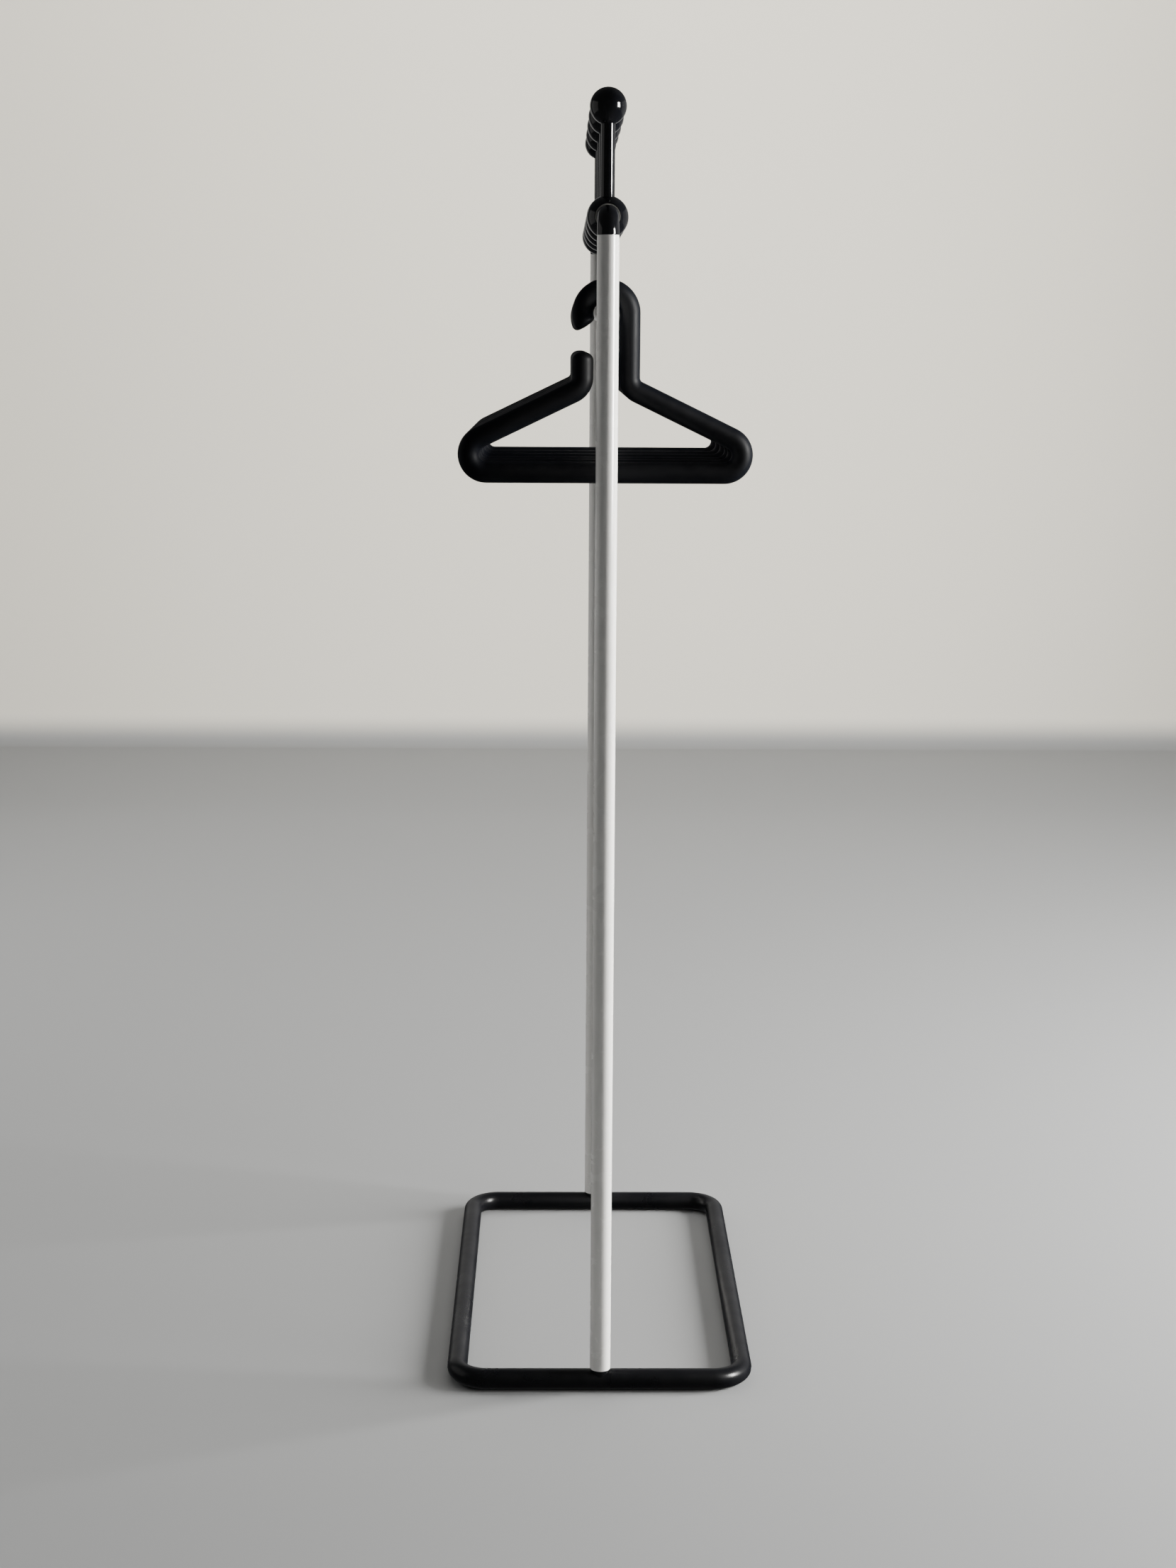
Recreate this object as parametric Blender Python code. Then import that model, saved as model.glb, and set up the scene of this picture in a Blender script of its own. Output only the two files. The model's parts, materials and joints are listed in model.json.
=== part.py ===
"""Valet stand: a bent tube base, two posts, a top rail with swivelling ball pegs and a bar of hangers.

Metres, +Z up.  The origin is on the floor under the middle of the base.  +Y runs along the top rail from
the near post (-Y) to the far post (+Y), and +X runs across the stand.
"""

import math

import bmesh
import bpy
from mathutils import Matrix, Vector

# ---------------------------------------------------------------- driving sizes
GAP = 0.0003                 # space left between pieces that meet
OVERRUN = 0.010              # how far a cutter stands out of what it cuts

BASE_LENGTH = 0.750          # along Y, over the tube
BASE_WIDTH = 0.450           # along X, over the tube
BASE_CORNER_R = 0.045        # bend radius of the corners, to the tube's centre line
BASE_TUBE_R = 0.015
BASE_WALL = 0.0018

POST_R = 0.015               # also the elbows and the top rail, which run flush with the posts
POST_WALL = 0.0015
POST_TOP = 1.642             # height of the posts' upper ends
POST_LIFT = 0.002            # bare neck left between the base tube and the posts

SPIGOT_LENGTH = 0.060        # length of the base spigots inside the posts
SPIGOT_CHAMFER = 0.002
BOLT_R = 0.004
BOLT_HEAD_R = 0.0065
BOLT_HEAD_HEIGHT = 0.008
BOLT_REACH = 0.030           # thread length above the base tube
BOLT_FIT = 0.0003            # radial room round the thread
BOLT_END_ROOM = 0.004        # bore left free above the bolt's tip
ACCESS_FIT = 0.0015          # radial room for the head in the access hole

ELBOW_BEND_R = 0.0255        # to the centre line
ELBOW_PLUG = 0.040           # length of the elbow plugs inside post and rail

PEG_COUNT = 5
HUB_R = 0.0285
HUB_END_GAP = 0.006          # from the flat side of an end hub to the elbow
LINER_WALL = 0.0017
LINER_INSET = 0.0008         # how far the liner's ends lie inside the hub
ROD_R = 0.0095
ROD_SOCKET_HUB = 0.008       # socket depth below the top of the hub
ROD_SOCKET_BALL = 0.014      # socket depth above the bottom of the ball
BALL_R = 0.025
BALL_REACH = 0.145           # from the rail's axis to the ball's centre

BAR_R = 0.012
BAR_WALL = 0.0015
BAR_DROP = 0.122             # from the rail's axis down to the bar's axis
BAR_PLUG = 0.025             # length of the end plugs inside the bar
BAR_FERRULE = 0.006          # visible length of the end plugs on the bar's centre line

HANGER_R = 0.015
HANGER_WIDTH = 0.412         # over the tube
HANGER_DROP = 0.218          # from the hook's centre to the lower bar's centre line
HANGER_NECK = 0.101          # from the hook's centre down to the shoulder corners
HANGER_STUB = 0.049          # from the shoulder corner up to the top of the short stub
HANGER_END_R = 0.025         # bend radius at the two ends, to the centre line
HANGER_NECK_R = 0.022        # bend radius at the shoulder corners
HOOK_R = 0.0324              # hook radius to the centre line
HOOK_PAST = math.radians(24)     # how far the tip curls in past half a turn
HOOK_TIP = 0.005             # length of the hook's rounded end
STUB_TIP = 0.012             # length of the stub's rounded end
TIP_STEPS = ((0.88, 0.55), (0.62, 0.90), (0.30, 1.0))     # radius and reach of a rounded end, as shares
HANGER_PLACES = (-0.78, -0.54, -0.34, -0.05, 0.24, 0.58)     # shares of half the bar, near to far

# ---------------------------------------------------------------- facet counts
TUBE_SIDES = 24
BASE_SIDES = 20
HANGER_SIDES = 10
BALL_SIDES = 16
HUB_SIDES = 20
BOLT_SIDES = 16
BEND_STEP = math.radians(15)
BALL_STEPS = 10
HUB_STEPS = 8

# ---------------------------------------------------------------- places that follow
BASE_AXIS_Z = BASE_TUBE_R * math.cos(math.pi / BASE_SIDES)     # the tube lies on one of its flats
BASE_TOP = BASE_AXIS_Z + BASE_TUBE_R
POST_Y = BASE_LENGTH / 2 - BASE_TUBE_R
POST_FOOT = BASE_TOP + POST_LIFT
POST_BORE_R = POST_R - POST_WALL
PLUG_R = POST_BORE_R - GAP
RAIL_Z = POST_TOP + GAP + ELBOW_BEND_R
RAIL_HALF = POST_Y - ELBOW_BEND_R - GAP
LINER_BORE_R = POST_R + GAP
HUB_BORE_R = LINER_BORE_R + LINER_WALL + GAP
HUB_SIDE = math.sqrt(HUB_R**2 - HUB_BORE_R**2)
HUB_SPAN = RAIL_HALF - HUB_END_GAP - HUB_SIDE
BAR_Z = RAIL_Z - BAR_DROP
BAR_BORE_R = BAR_R - BAR_WALL
BAR_HALF = POST_Y - POST_R - BAR_FERRULE
HOOK_Z = BAR_Z + BAR_R + GAP + HANGER_R - HOOK_R             # the hook rests on top of the bar

UP = Vector((0, 0, 1))
SIDE = Vector((0, 1, 0))


# ---------------------------------------------------------------- materials
def material(name, colour, roughness, metallic=0.0, coat=0.0):
    made = bpy.data.materials.new(name)
    made.use_nodes = True
    shader = made.node_tree.nodes["Principled BSDF"]
    shader.inputs["Base Color"].default_value = (*colour, 1.0)
    shader.inputs["Roughness"].default_value = roughness
    shader.inputs["Metallic"].default_value = metallic
    shader.inputs["Coat Weight"].default_value = coat
    made.diffuse_color = (*colour, 1.0)
    return made


def make_materials():
    return {
        "white_lacquer": material("white_lacquer", (0.86, 0.85, 0.82), 0.22, coat=0.4),
        "base_black": material("base_black", (0.012, 0.012, 0.014), 0.20, coat=0.5),
        "gloss_black": material("gloss_black", (0.010, 0.010, 0.012), 0.08, coat=0.6),
        "satin_black": material("satin_black", (0.016, 0.016, 0.018), 0.42),
        "liner_nylon": material("liner_nylon", (0.55, 0.54, 0.50), 0.50),
        "bolt_steel": material("bolt_steel", (0.45, 0.45, 0.46), 0.35, metallic=1.0),
    }


# ---------------------------------------------------------------- mesh helpers
def finish_object(name, bm, surface):
    """Turn a bmesh into a smooth shaded object with one material."""
    bmesh.ops.recalc_face_normals(bm, faces=bm.faces)
    mesh = bpy.data.meshes.new(name)
    bm.to_mesh(mesh)
    bm.free()
    mesh.materials.append(surface)
    mesh.shade_smooth()
    mesh.set_sharp_from_angle(angle=math.radians(40))
    made = bpy.data.objects.new(name, mesh)
    bpy.context.collection.objects.link(made)
    return made


def filleted(corners, radii, closed=False):
    """Centre line through corner points, each rounded to its radius, as (point, direction) pairs."""
    count = len(corners)
    stations = []
    if not closed:
        stations.append((corners[0], (corners[1] - corners[0]).normalized()))
    inner = range(count) if closed else range(1, count - 1)
    for i in inner:
        here = corners[i]
        arriving = (here - corners[i - 1]).normalized()
        leaving = (corners[(i + 1) % count] - here).normalized()
        turn = arriving.angle(leaving)
        axis = arriving.cross(leaving).normalized()
        radius = radii[i]
        start = here - arriving * radius * math.tan(turn / 2)
        centre = start + axis.cross(arriving) * radius
        steps = max(2, math.ceil(turn / BEND_STEP))
        for k in range(steps + 1):
            swing = Matrix.Rotation(turn * k / steps, 3, axis)
            stations.append((centre + swing @ (start - centre), swing @ arriving))
    if not closed:
        stations.append((corners[-1], (corners[-1] - corners[-2]).normalized()))
    return stations


def sweep(name, stations, radii, plane_normal, sides, surface, closed=False):
    """Round bar along a flat centre line, with one radius for each station."""
    bm = bmesh.new()
    rings = []
    for (point, direction), radius in zip(stations, radii):
        across = plane_normal.cross(direction).normalized()
        ring = []
        for k in range(sides):
            angle = 2 * math.pi * (k + 0.5) / sides
            outward = math.cos(angle) * across + math.sin(angle) * plane_normal
            ring.append(bm.verts.new(point + radius * outward))
        rings.append(ring)
    pairs = list(zip(rings, rings[1:]))
    if closed:
        pairs.append((rings[-1], rings[0]))
    for first, second in pairs:
        for k in range(sides):
            after = (k + 1) % sides
            bm.faces.new((first[k], first[after], second[after], second[k]))
    if not closed:
        bm.faces.new(rings[0])
        bm.faces.new(rings[-1])
    return finish_object(name, bm, surface)


def turned(name, profile, sides, surface, closed=False):
    """Turned piece about local Z from (radius, height) points; a closed profile leaves a through bore."""
    bm = bmesh.new()
    rings = []
    for radius, height in profile:
        if radius == 0:
            rings.append([bm.verts.new((0, 0, height))])
            continue
        ring = []
        for k in range(sides):
            angle = 2 * math.pi * (k + 0.5) / sides
            ring.append(bm.verts.new((radius * math.cos(angle), radius * math.sin(angle), height)))
        rings.append(ring)
    pairs = list(zip(rings, rings[1:]))
    if closed:
        pairs.append((rings[-1], rings[0]))
    for first, second in pairs:
        for k in range(sides):
            after = (k + 1) % sides
            if len(first) == 1:
                bm.faces.new((first[0], second[k], second[after]))
            elif len(second) == 1:
                bm.faces.new((first[k], first[after], second[0]))
            else:
                bm.faces.new((first[k], first[after], second[after], second[k]))
    return finish_object(name, bm, surface)


def rod(name, radius, low, high, sides, surface):
    """Plain round rod about local Z, also used for round cutters."""
    return turned(name, ((0, low), (radius, low), (radius, high), (0, high)), sides, surface)


def tube(name, outer, inner, low, high, surface):
    """Straight tube about local Z, open at both ends."""
    profile = ((inner, low), (outer, low), (outer, high), (inner, high))
    return turned(name, profile, TUBE_SIDES, surface, closed=True)


def cut(target, cutter):
    """Keep a live exact difference and hide the cutter from the build."""
    cutter.hide_render = True
    cutter.display_type = "WIRE"
    step = target.modifiers.new(cutter.name, "BOOLEAN")
    step.operation = "DIFFERENCE"
    step.solver = "EXACT"
    step.object = cutter


def pivot(name, location):
    empty = bpy.data.objects.new(name, None)
    empty.location = location
    bpy.context.collection.objects.link(empty)
    return empty


def along_y(made):
    """Lay a piece that was turned about Z along the Y axis."""
    made.rotation_euler = (-math.pi / 2, 0, 0)
    return made


# ---------------------------------------------------------------- the fixed frame
def base_line():
    half_x = BASE_WIDTH / 2 - BASE_TUBE_R
    corners = [Vector((x, y, BASE_AXIS_Z)) for x, y in
               ((half_x, -POST_Y), (half_x, POST_Y), (-half_x, POST_Y), (-half_x, -POST_Y))]
    return filleted(corners, [BASE_CORNER_R] * 4, closed=True)


def make_base(surfaces):
    """Closed loop of bent tube, with a bolt hole and an access hole under each post."""
    line = base_line()
    loop = sweep("base_loop", line, [BASE_TUBE_R] * len(line), UP, BASE_SIDES, surfaces["base_black"], True)
    hollow = sweep("base_hollow_cut", line, [BASE_TUBE_R - BASE_WALL] * len(line), UP, BASE_SIDES // 2,
                   surfaces["base_black"], True)
    cut(loop, hollow)
    access_r = BOLT_HEAD_R + ACCESS_FIT
    bolt_bore = BOLT_R + BOLT_FIT
    above = BASE_TOP + OVERRUN
    profile = ((0, -OVERRUN), (access_r, -OVERRUN), (access_r, BASE_AXIS_Z), (bolt_bore, BASE_AXIS_Z),
               (bolt_bore, above), (0, above))
    for label, y in (("near", -POST_Y), ("far", POST_Y)):
        hole = turned("base_bolt_cut_" + label, profile, BOLT_SIDES, surfaces["base_black"])
        hole.location = (0, y, 0)
        cut(loop, hole)


def make_spigot(label, y, surfaces):
    """Black neck on the base tube that the post slips over, drilled for its bolt."""
    top = POST_FOOT + SPIGOT_LENGTH
    bore_top = BASE_TOP + BOLT_REACH + BOLT_END_ROOM
    bolt_bore = BOLT_R + BOLT_FIT
    profile = ((0, bore_top), (bolt_bore, bore_top), (bolt_bore, BASE_AXIS_Z), (PLUG_R, BASE_AXIS_Z),
               (PLUG_R, top - SPIGOT_CHAMFER), (PLUG_R - SPIGOT_CHAMFER, top), (0, top))
    spigot = turned("base_spigot_" + label, profile, TUBE_SIDES, surfaces["base_black"])
    spigot.location = (0, y, 0)
    saddle_r = (BASE_TUBE_R + GAP) / math.cos(math.pi / TUBE_SIDES)
    reach = PLUG_R + OVERRUN
    saddle = rod("spigot_saddle_cut_" + label, saddle_r, -reach, reach, TUBE_SIDES, surfaces["base_black"])
    saddle.rotation_euler = (0, math.pi / 2, 0)
    saddle.location = (0, y, BASE_AXIS_Z)
    cut(spigot, saddle)


def make_bolt(label, y, surfaces):
    """Cap screw that pulls the spigot down on to the base tube from inside it."""
    facet_share = math.cos(2 * math.pi / BASE_SIDES)
    ceiling = math.sqrt((BASE_TUBE_R - BASE_WALL)**2 - BOLT_HEAD_R**2) * facet_share
    head_top = BASE_AXIS_Z + ceiling - GAP
    head_low = head_top - BOLT_HEAD_HEIGHT
    tip = BASE_TOP + BOLT_REACH
    socket_r = BOLT_HEAD_R / 2
    socket_top = head_low + BOLT_HEAD_HEIGHT / 2
    profile = ((0, socket_top), (socket_r, socket_top), (socket_r, head_low), (BOLT_HEAD_R, head_low),
               (BOLT_HEAD_R, head_top), (BOLT_R, head_top), (BOLT_R, tip), (0, tip))
    bolt = turned("base_bolt_" + label, profile, BOLT_SIDES, surfaces["bolt_steel"])
    bolt.location = (0, y, 0)


def make_post(label, y, surfaces):
    post = tube("post_" + label, POST_R, POST_BORE_R, POST_FOOT, POST_TOP, surfaces["white_lacquer"])
    post.location = (0, y, 0)


def make_elbow(label, way, surfaces):
    """Quarter bend with a plug at each end, one in the post and one in the rail."""
    y = -way * POST_Y
    foot = POST_TOP + GAP
    corner = Vector((0, y, RAIL_Z))
    low = Vector((0, y, foot))
    inward = Vector((0, way, 0))
    bend = filleted([low, corner, corner + inward * ELBOW_BEND_R], [0, ELBOW_BEND_R, 0])[1:-1]
    first, last = bend[0], bend[-1]
    plug_foot = (first[0] - UP * ELBOW_PLUG, UP)
    plug_head = (last[0] + inward * ELBOW_PLUG, inward)
    stations = [plug_foot, first, *bend, last, plug_head]
    radii = [PLUG_R, PLUG_R, *([POST_R] * len(bend)), PLUG_R, PLUG_R]
    sweep("elbow_" + label, stations, radii, Vector((1, 0, 0)), TUBE_SIDES, surfaces["gloss_black"])


def make_rail(surfaces):
    rail = tube("top_rail", POST_R, POST_BORE_R, -RAIL_HALF, RAIL_HALF, surfaces["gloss_black"])
    along_y(rail).location = (0, 0, RAIL_Z)


def make_bar(surfaces):
    bar = tube("hanger_bar", BAR_R, BAR_BORE_R, -BAR_HALF + GAP, BAR_HALF - GAP, surfaces["white_lacquer"])
    along_y(bar).location = (0, 0, BAR_Z)


def make_bar_end(label, way, surfaces):
    """End plug of the hanger bar, hollowed to seat against the round of the post."""
    plug_r = BAR_BORE_R - GAP
    inner_end = BAR_FERRULE + BAR_PLUG
    profile = ((0, -POST_R), (BAR_R, -POST_R), (BAR_R, BAR_FERRULE), (plug_r, BAR_FERRULE),
               (plug_r, inner_end), (0, inner_end))
    plug = turned("bar_end_" + label, profile, TUBE_SIDES, surfaces["white_lacquer"])
    plug.rotation_euler = (-way * math.pi / 2, 0, 0)
    plug.location = (0, -way * (POST_Y - POST_R), BAR_Z)
    seat_r = (POST_R + GAP) / math.cos(math.pi / TUBE_SIDES)
    reach = BAR_R + OVERRUN
    seat = rod("bar_seat_cut_" + label, seat_r, -reach, reach, TUBE_SIDES, surfaces["white_lacquer"])
    seat.location = (0, -way * POST_Y, BAR_Z)
    cut(plug, seat)


# ---------------------------------------------------------------- the pegs
def sphere_arc(radius, start, stop, steps):
    """Profile points on a ball, from one polar angle to another, measured from the top."""
    return [(radius * math.sin(a), radius * math.cos(a))
            for a in (start + (stop - start) * k / steps for k in range(steps + 1))]


def make_peg(number, y, surfaces):
    """Ball headed peg whose hub turns on the top rail, all on one pivot on the rail's axis."""
    turn = pivot("peg_pivot_%d" % number, (0, y, RAIL_Z))

    side_angle = math.asin(HUB_BORE_R / HUB_R)
    outline = sphere_arc(HUB_R, side_angle, math.pi - side_angle, HUB_STEPS)
    hub = turned("peg_hub_%d" % number, outline, HUB_SIDES, surfaces["gloss_black"], closed=True)
    along_y(hub).parent = turn
    socket_low = HUB_R - ROD_SOCKET_HUB
    socket_r = ROD_R + GAP
    socket = rod("hub_socket_cut_%d" % number, socket_r, socket_low, HUB_R + OVERRUN, HUB_SIDES,
                 surfaces["gloss_black"])
    socket.parent = turn
    cut(hub, socket)

    liner_half = HUB_SIDE - LINER_INSET
    liner = tube("peg_liner_%d" % number, LINER_BORE_R + LINER_WALL, LINER_BORE_R, -liner_half, liner_half,
                 surfaces["liner_nylon"])
    along_y(liner).parent = turn

    ball_socket_top = -BALL_R + ROD_SOCKET_BALL
    rod_low = socket_low + GAP
    rod_high = BALL_REACH + ball_socket_top - GAP
    stem = rod("peg_rod_%d" % number, ROD_R, rod_low, rod_high, HUB_SIDES, surfaces["gloss_black"])
    stem.parent = turn

    mouth_angle = math.asin(socket_r / BALL_R)
    outline = [(0, ball_socket_top), (socket_r, ball_socket_top),
               *sphere_arc(BALL_R, math.pi - mouth_angle, 0, BALL_STEPS)[:-1], (0, BALL_R)]
    ball = turned("peg_ball_%d" % number, outline, BALL_SIDES, surfaces["gloss_black"])
    ball.parent = turn
    ball.location = (0, 0, BALL_REACH)


# ---------------------------------------------------------------- the hangers
def hanger_line():
    """Centre line of a hanger in its own plane, from hook tip to stub, hook centre at the origin."""
    end_x = HANGER_WIDTH / 2 - HANGER_R - HANGER_END_R
    end_z = -HANGER_DROP + HANGER_END_R
    run_x, run_z = end_x - HOOK_R, end_z + HANGER_NECK
    slope = -math.atan2(run_z, run_x) - math.asin(HANGER_END_R / math.hypot(run_x, run_z))
    corner_x = HOOK_R + (HANGER_DROP - HANGER_NECK) / math.tan(slope)
    steps = math.ceil((math.pi + HOOK_PAST) / BEND_STEP)
    line = []
    for k in range(steps):
        angle = (math.pi + HOOK_PAST) * (1 - k / steps)
        line.append((Vector((HOOK_R * math.cos(angle), 0, HOOK_R * math.sin(angle))),
                     Vector((math.sin(angle), 0, -math.cos(angle)))))
    corners = [Vector((x, 0, z)) for x, z in
               ((HOOK_R, 0), (HOOK_R, -HANGER_NECK), (corner_x, -HANGER_DROP), (-corner_x, -HANGER_DROP),
                (-HOOK_R, -HANGER_NECK), (-HOOK_R, -HANGER_NECK + HANGER_STUB - STUB_TIP))]
    radii = [0, HANGER_NECK_R, HANGER_END_R, HANGER_END_R, HANGER_NECK_R, 0]
    return line + filleted(corners, radii)


def domed(line, radius, first_dome, last_dome):
    """Add rounded ends beyond both ends of a centre line, and give each station its radius."""
    start, start_way = line[0]
    end, end_way = line[-1]
    head = [(start - start_way * first_dome * reach, start_way) for _, reach in reversed(TIP_STEPS)]
    tail = [(end + end_way * last_dome * reach, end_way) for _, reach in TIP_STEPS]
    sizes = [radius * share for share, _ in TIP_STEPS]
    return head + line + tail, [*reversed(sizes), *([radius] * len(line)), *sizes]


def make_hanger(number, y, surfaces):
    """One bent round bar that hangs on the bar by its hook and swings about the bar's axis."""
    swing = pivot("hanger_pivot_%d" % number, (0, y, BAR_Z))
    line, radii = domed(hanger_line(), HANGER_R, HOOK_TIP, STUB_TIP)
    hanger = sweep("hanger_%d" % number, line, radii, SIDE, HANGER_SIDES, surfaces["satin_black"])
    hanger.parent = swing
    hanger.location = (0, 0, HOOK_Z - BAR_Z)


# ---------------------------------------------------------------- the whole stand
def main():
    for old in list(bpy.data.objects):
        bpy.data.objects.remove(old, do_unlink=True)
    surfaces = make_materials()
    make_base(surfaces)
    for label, way in (("near", 1), ("far", -1)):
        y = -way * POST_Y
        make_spigot(label, y, surfaces)
        make_bolt(label, y, surfaces)
        make_post(label, y, surfaces)
        make_elbow(label, way, surfaces)
        make_bar_end(label, way, surfaces)
    make_rail(surfaces)
    make_bar(surfaces)
    for i in range(PEG_COUNT):
        make_peg(i + 1, HUB_SPAN * (2 * i / (PEG_COUNT - 1) - 1), surfaces)
    for i, share in enumerate(HANGER_PLACES):
        make_hanger(i + 1, BAR_HALF * share, surfaces)


main()
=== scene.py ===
"""Looks of a valet stand: smooth surfaces, finishes, stage and camera around the packed frame.

Metres, +Z up.  The stand's base lies on the floor round the origin, +Y runs along the top rail and +X
across the stand.  Every new piece is a grid of points worked out as whole arrays, in the frame's own
place, and stands for the CAD node of the same name.
"""

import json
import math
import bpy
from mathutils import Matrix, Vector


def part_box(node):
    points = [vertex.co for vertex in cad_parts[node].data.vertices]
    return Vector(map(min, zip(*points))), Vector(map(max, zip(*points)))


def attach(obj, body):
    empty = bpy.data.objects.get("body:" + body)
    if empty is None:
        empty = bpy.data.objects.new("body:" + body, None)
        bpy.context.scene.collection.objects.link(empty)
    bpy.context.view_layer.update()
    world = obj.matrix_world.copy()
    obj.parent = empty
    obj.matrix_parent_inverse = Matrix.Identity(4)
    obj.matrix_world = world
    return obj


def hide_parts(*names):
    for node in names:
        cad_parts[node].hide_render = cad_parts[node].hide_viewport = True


bl_info = {
    "name": "Valet Stand",
    "version": (1, 0, 0),
    "blender": (4, 5, 0),
    "location": "View3D > Sidebar > Stand",
    "description": "Builds the finished surfaces of a valet stand on its packed frame",
    "category": "Add Mesh",
}

import bpy
import numpy as np
from mathutils import Matrix

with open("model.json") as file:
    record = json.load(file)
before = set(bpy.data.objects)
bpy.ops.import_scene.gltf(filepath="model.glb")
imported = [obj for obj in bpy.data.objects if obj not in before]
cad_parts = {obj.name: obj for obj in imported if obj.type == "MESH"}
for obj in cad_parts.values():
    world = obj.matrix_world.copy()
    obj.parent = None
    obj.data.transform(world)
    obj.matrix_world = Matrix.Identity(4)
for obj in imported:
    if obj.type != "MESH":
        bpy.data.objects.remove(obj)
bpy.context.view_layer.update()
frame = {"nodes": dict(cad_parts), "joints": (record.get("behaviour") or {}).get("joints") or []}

GAP = 0.0003                # space between pieces that meet
OVERRUN = 0.01              # how far a cutter stands out of what it cuts
BOLT_BORE_R = 0.0043        # room for the screw's thread in base and neck
HEAD_ROOM = 0.0016          # radial room round the screw's head
TIP_ROOM = 0.004            # bore left free above the screw's tip
BALL_SIDES = 128            # points round the balls and the hubs
BALL_STEPS = 72             # points from a ball's mouth to its top
HUB_STEPS = 65              # points from rim to rim of a hub
HOOK_STEPS = 60             # points along the hook's bend
JOINTS = {joint["name"]: joint for joint in frame["joints"]}
X_WAY = np.array((1.0, 0.0, 0.0))
Y_WAY = np.array((0.0, 1.0, 0.0))
Z_WAY = np.array((0.0, 0.0, 1.0))


def box_of(node):
    """Lowest and highest corner of a CAD node as two arrays."""
    low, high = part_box(node)
    return np.array(low), np.array(high)


def joint_place(name):
    return np.array(JOINTS[name]["pos_m"], float)


BASE_LOW, BASE_HIGH = box_of("base_loop")
POST_LOW, POST_HIGH = box_of("post_near")
POST_Y = -(POST_LOW[1] + POST_HIGH[1]) / 2
RAIL_LOW, RAIL_HIGH = box_of("top_rail")
RAIL_Z = (RAIL_LOW[2] + RAIL_HIGH[2]) / 2
BAR_LOW, BAR_HIGH = box_of("hanger_bar")
BAR_Z = (BAR_LOW[2] + BAR_HIGH[2]) / 2
BASE_R = (BASE_HIGH[2] - BASE_LOW[2]) / 2
POST_R = (POST_HIGH[1] - POST_LOW[1]) / 2
PEG_NUMBERS = sorted(int(name.split("_")[1]) for name in JOINTS if name.startswith("peg"))
HANGER_NUMBERS = sorted(int(name.split("_")[1]) for name in JOINTS if name.startswith("hanger"))


# ---------------------------------------------------------------- sizes and colours a user may change
class StandFinish(bpy.types.PropertyGroup):
    """Colours and gloss of the stand's finishes."""
    white: bpy.props.FloatVectorProperty(
        name="Lacquer white", description="Colour of the posts and the hanger bar",
        default=(0.83, 0.82, 0.79), size=3, min=0, max=1, subtype="COLOR")
    black: bpy.props.FloatVectorProperty(
        name="Black", description="Colour of the base and of the polished black pieces",
        default=(0.0030, 0.0032, 0.0044), size=3, min=0, max=1, subtype="COLOR")
    hanger_black: bpy.props.FloatVectorProperty(
        name="Hanger black", description="Colour of the hangers",
        default=(0.0024, 0.0030, 0.0050), size=3, min=0, max=1, subtype="COLOR")
    nylon: bpy.props.FloatVectorProperty(
        name="Sleeve nylon", description="Colour of the sleeves inside the hubs",
        default=(0.50, 0.49, 0.45), size=3, min=0, max=1, subtype="COLOR")
    steel: bpy.props.FloatVectorProperty(
        name="Screw steel", description="Colour of the screws under the base",
        default=(0.42, 0.42, 0.43), size=3, min=0, max=1, subtype="COLOR")
    white_gloss: bpy.props.FloatProperty(
        name="White roughness", description="Middle roughness of the white lacquer",
        default=0.24, min=0.02, max=1, subtype="FACTOR")
    base_gloss: bpy.props.FloatProperty(
        name="Base roughness", description="Middle roughness of the base's black lacquer",
        default=0.30, min=0.02, max=1, subtype="FACTOR")
    plastic_gloss: bpy.props.FloatProperty(
        name="Gloss roughness", description="Middle roughness of the balls, pegs, hubs, elbows and rail",
        default=0.075, min=0.02, max=1, subtype="FACTOR")
    satin_gloss: bpy.props.FloatProperty(
        name="Satin roughness", description="Middle roughness of the hangers",
        default=0.50, min=0.02, max=1, subtype="FACTOR")


class StandTube(bpy.types.PropertyGroup):
    """Sections of the tubes and how their cut ends are eased."""
    post_r: bpy.props.FloatProperty(
        name="Post radius", description="Outer radius of posts, elbows and top rail",
        default=POST_R, min=0.005, max=0.03, subtype="DISTANCE", unit="LENGTH")
    post_wall: bpy.props.FloatProperty(
        name="Post wall", description="Wall of the posts and the top rail",
        default=0.0015, min=0.0005, max=0.004, subtype="DISTANCE", unit="LENGTH")
    base_wall: bpy.props.FloatProperty(
        name="Base wall", description="Wall of the base tube",
        default=0.0018, min=0.0005, max=0.004, subtype="DISTANCE", unit="LENGTH")
    base_bend: bpy.props.FloatProperty(
        name="Base bend", description="Bend radius of the base's corners to the centre line",
        default=0.045, min=0.02, max=0.12, subtype="DISTANCE", unit="LENGTH")
    bar_r: bpy.props.FloatProperty(
        name="Bar radius", description="Outer radius of the hanger bar",
        default=0.012, min=0.005, max=0.02, subtype="DISTANCE", unit="LENGTH")
    bar_wall: bpy.props.FloatProperty(
        name="Bar wall", description="Wall of the hanger bar",
        default=0.0015, min=0.0005, max=0.004, subtype="DISTANCE", unit="LENGTH")
    ease: bpy.props.FloatProperty(
        name="Eased edge", description="Radius on the cut ends of the tubes",
        default=0.0004, min=0.0001, max=0.0007, subtype="DISTANCE", unit="LENGTH")
    plug: bpy.props.FloatProperty(
        name="Plug length", description="Length of the elbows' plugs inside post and rail",
        default=0.040, min=0.01, max=0.08, subtype="DISTANCE", unit="LENGTH")
    sides: bpy.props.IntProperty(
        name="Sides", description="Points round a tube", default=72, min=24, max=160)


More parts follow.
